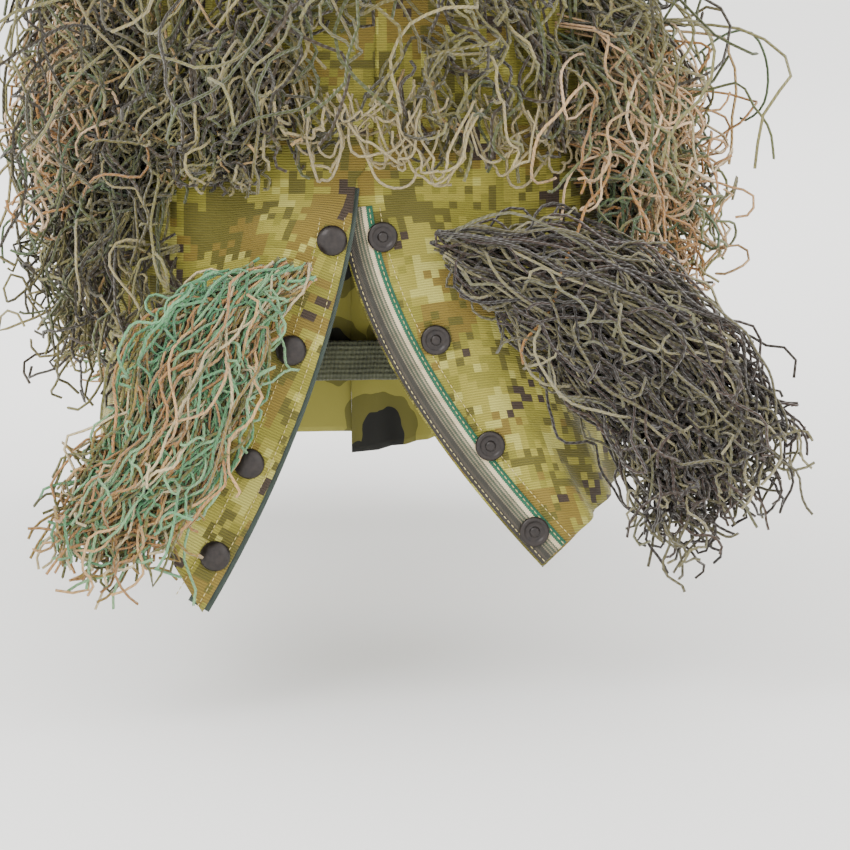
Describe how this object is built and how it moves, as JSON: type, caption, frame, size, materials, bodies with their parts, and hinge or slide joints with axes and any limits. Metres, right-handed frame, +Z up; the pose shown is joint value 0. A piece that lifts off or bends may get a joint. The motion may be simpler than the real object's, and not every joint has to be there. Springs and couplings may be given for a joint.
{
  "type": "ghillie suit",
  "caption": "Hooded yarn camouflage suit of jacket and trousers, with snapped ankle vents, printed cloth, striped facing tape and tufts of yarn.",
  "frame": {"origin": "the middle of the waist, where the wearer holds the suit up; the wearer's soles are 1 m below it", "axes": "+Z up, the wearer faces -Y, the wearer's left is +X"},
  "size_m": [0.8766, 0.416, 1.752],
  "materials": {
    "printed_cloth": "matt ribbed cloth with a square-blocked green, brown and tan print",
    "lining_cloth": "matt cloth with dark leaf-shaped blotches",
    "elastic": "matt ribbed elastic",
    "binding_tape": "dark twill tape",
    "facing_tape": "striped woven tape",
    "snap_metal": "dark brown-black enamel, half gloss",
    "yarn": "fuzzy spun yarn, olive and grey-green",
    "pale_yarn": "fuzzy spun yarn, mint, peach and tan",
    "dark_yarn": "fuzzy spun yarn, dark brown and olive-grey"
  },
  "bodies": {
    "root": {"left_front_panel": "printed_cloth", "left_back_panel": "printed_cloth", "left_leg_lining": "lining_cloth", "left_hem_elastic": "elastic", "left_leg_yarn": "yarn", "right_front_panel": "printed_cloth", "right_back_panel": "printed_cloth", "right_leg_lining": "lining_cloth", "right_hem_elastic": "elastic", "right_leg_yarn": "yarn", "waistband": "elastic", "jacket_left_front": "printed_cloth", "jacket_right_front": "printed_cloth", "jacket_back": "printed_cloth", "jacket_placket": "printed_cloth", "left_sleeve": "printed_cloth", "left_cuff": "elastic", "right_sleeve": "printed_cloth", "right_cuff": "elastic", "jacket_yarn": "yarn", "hood": "printed_cloth", "hood_yarn": "yarn"},
    "left_front_vent": {"left_front_flap": "printed_cloth", "left_front_flap_binding": "binding_tape", "left_front_flap_yarn": "pale_yarn", "left_snap_cap_1": "snap_metal", "left_snap_cap_2": "snap_metal", "left_snap_cap_3": "snap_metal", "left_snap_cap_4": "snap_metal", "left_snap_socket_1": "snap_metal", "left_snap_socket_2": "snap_metal", "left_snap_socket_3": "snap_metal", "left_snap_socket_4": "snap_metal"},
    "left_rear_vent": {"left_rear_flap": "printed_cloth", "left_rear_flap_facing": "facing_tape", "left_rear_flap_yarn": "dark_yarn", "left_snap_stud_1": "snap_metal", "left_snap_stud_2": "snap_metal", "left_snap_stud_3": "snap_metal", "left_snap_stud_4": "snap_metal"},
    "right_front_vent": {"right_front_flap": "printed_cloth", "right_front_flap_binding": "binding_tape", "right_front_flap_yarn": "pale_yarn", "right_snap_cap_1": "snap_metal", "right_snap_cap_2": "snap_metal", "right_snap_cap_3": "snap_metal", "right_snap_cap_4": "snap_metal", "right_snap_socket_1": "snap_metal", "right_snap_socket_2": "snap_metal", "right_snap_socket_3": "snap_metal", "right_snap_socket_4": "snap_metal"},
    "right_rear_vent": {"right_rear_flap": "printed_cloth", "right_rear_flap_facing": "facing_tape", "right_rear_flap_yarn": "dark_yarn", "right_snap_stud_1": "snap_metal", "right_snap_stud_2": "snap_metal", "right_snap_stud_3": "snap_metal", "right_snap_stud_4": "snap_metal"}
  },
  "joints": [
    {"name": "left_front_vent_swing", "type": "hinge", "parent": "root", "child": "left_front_vent", "pos_m": [0.271, -0.022, -0.73], "axis": [0.9954, 0, 0.0958], "range_deg": [0, 21]},
    {"name": "left_rear_vent_swing", "type": "hinge", "parent": "root", "child": "left_rear_vent", "pos_m": [0.271, -0.022, -0.73], "axis": [0.9954, 0, 0.0958], "range_deg": [-26.8, 0]},
    {"name": "right_front_vent_swing", "type": "hinge", "parent": "root", "child": "right_front_vent", "pos_m": [-0.271, -0.022, -0.73], "axis": [0.9954, 0, -0.0958], "range_deg": [0, 21]},
    {"name": "right_rear_vent_swing", "type": "hinge", "parent": "root", "child": "right_rear_vent", "pos_m": [-0.271, -0.022, -0.73], "axis": [0.9954, 0, -0.0958], "range_deg": [-26.8, 0]}
  ]
}
